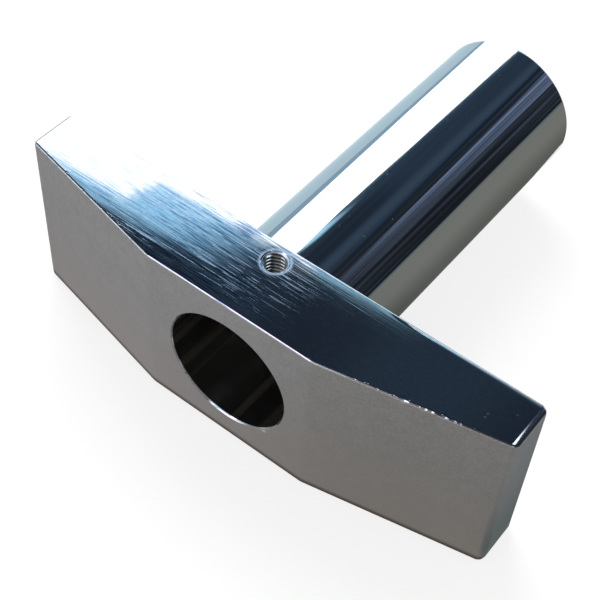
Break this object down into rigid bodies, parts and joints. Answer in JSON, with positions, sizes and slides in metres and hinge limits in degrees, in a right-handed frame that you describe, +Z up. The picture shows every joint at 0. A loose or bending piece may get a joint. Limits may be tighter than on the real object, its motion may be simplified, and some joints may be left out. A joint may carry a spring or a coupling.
{
  "type": "t-handle",
  "caption": "T-handle: a crossbar with a three-facet front, bored through into a thin-walled tube that stands out of its flat back, with a small tapped hole in the top.",
  "frame": {"origin": "where the tube's axis crosses the flat back of the crossbar", "axes": "+X along the crossbar, +Y along the tube away from the crossbar's back, +Z up, towards the tapped hole"},
  "size_m": [0.086, 0.076, 0.03],
  "materials": {
    "crossbar_plating": "satin plate on the three front facets and the ends, brushed and polished plate on the top and back",
    "tube_plating": "polished plate with faint lines along the tube"
  },
  "bodies": {
    "root": {"crossbar": "crossbar_plating", "tube": "tube_plating"}
  },
  "joints": []
}
